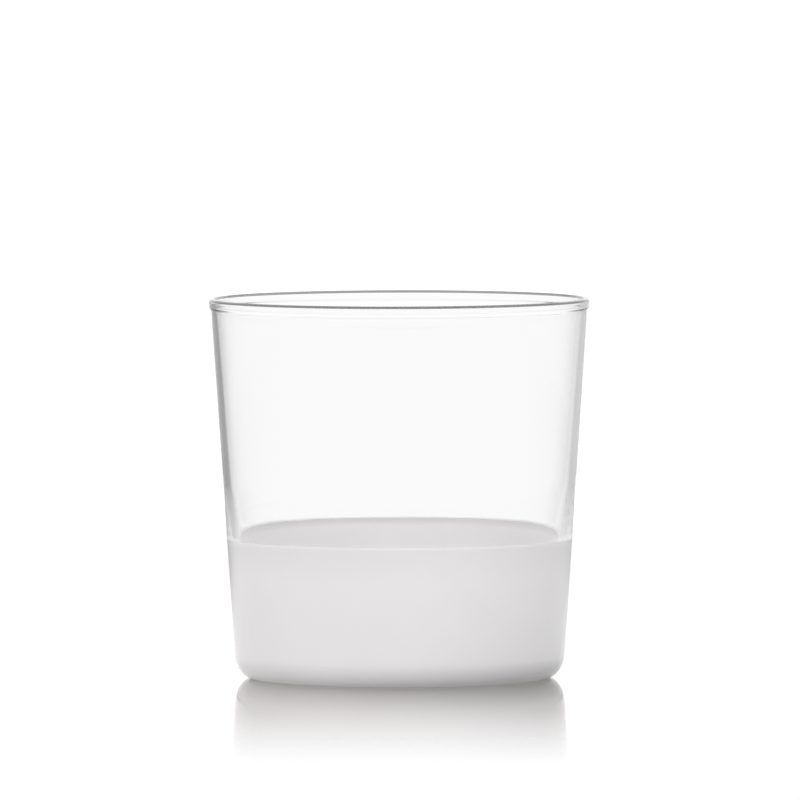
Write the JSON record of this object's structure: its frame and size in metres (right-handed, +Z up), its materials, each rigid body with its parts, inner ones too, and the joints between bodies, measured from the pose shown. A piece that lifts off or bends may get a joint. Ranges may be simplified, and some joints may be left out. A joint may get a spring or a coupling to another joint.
{
  "type": "water glass",
  "caption": "Tapered tumbler for water: a clear upper wall with a fire-polished rim, welded at a thin seam to an opaque white cup with a rounded heel.",
  "frame": {"origin": "centre of the foot, on the plane that the glass stands on", "axes": "+Z up along the axis of the glass, towards the rim; X and Y are any two directions across it"},
  "size_m": [0.088, 0.088, 0.0876],
  "materials": {
    "white_opal": "opaque white opal glass, flame polished",
    "pale_opal": "white opal glass thinned into clear glass, flame polished",
    "clear_glass": "clear colourless glass, flame polished"
  },
  "bodies": {
    "root": {"white_cup": "white_opal", "weld_seam": "pale_opal", "clear_wall": "clear_glass"}
  },
  "joints": []
}
